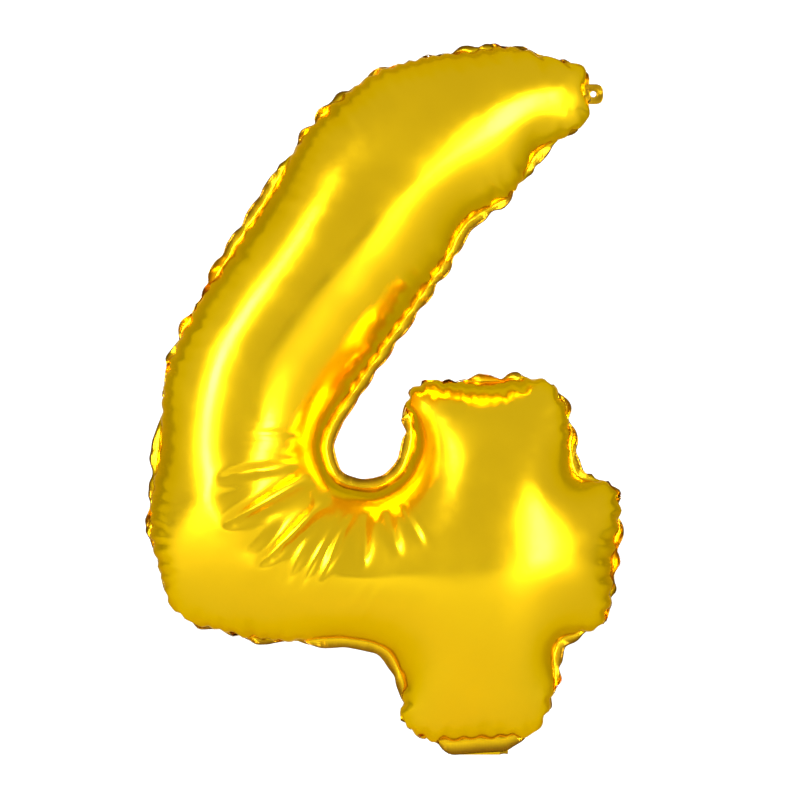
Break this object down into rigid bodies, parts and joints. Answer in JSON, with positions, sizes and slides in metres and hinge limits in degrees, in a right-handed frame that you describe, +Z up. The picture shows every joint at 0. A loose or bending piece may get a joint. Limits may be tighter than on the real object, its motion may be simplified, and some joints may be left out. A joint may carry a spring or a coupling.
{
  "type": "foil number balloon",
  "caption": "Air-filled foil balloon in the shape of an open-topped digit four, with welded seam, hang tab, folded filling tail and self-sealing valve.",
  "frame": {"origin": "centre of the punched hang hole in the tab at the diagonal's tip, midway through the tab", "axes": "+X to the digit's right as it is read, +Z up, -Y out of the front of the digit"},
  "size_m": [0.2389, 0.0902, 0.3556],
  "materials": {
    "gold_film": "satin-gloss metallised gold film",
    "valve_film": "thin clear polyethylene film"
  },
  "bodies": {
    "balloon": {"front_panel": "gold_film", "back_panel": "gold_film", "hang_tab": "gold_film"},
    "fill_tail": {"tail_front_film": "gold_film", "tail_back_film": "gold_film", "tail_valve_front": "valve_film", "tail_valve_back": "valve_film"},
    "valve_front": {"valve_front_film": "valve_film"},
    "valve_back": {"valve_back_film": "valve_film"}
  },
  "joints": [
    {"name": "tail_fold", "type": "hinge", "parent": "balloon", "child": "fill_tail", "pos_m": [-0.05758, 0, -0.32993], "axis": [-1, 0, 0], "range_deg": [0, 170]},
    {"name": "valve_open", "type": "hinge", "parent": "balloon", "child": "valve_front", "pos_m": [-0.05758, -0.0003, -0.31793], "axis": [1, 0, 0], "range_deg": [0, 8], "stiffness_Nm_per_rad": 0.0005},
    {"name": "valve_back_open", "type": "hinge", "parent": "balloon", "child": "valve_back", "pos_m": [-0.05758, 0.0003, -0.31793], "axis": [-1, 0, 0], "range_deg": [0, 8], "stiffness_Nm_per_rad": 0.0005}
  ],
  "couplings": [
    {"joint": "valve_back_open", "follows": "valve_open", "ratio": 1}
  ]
}
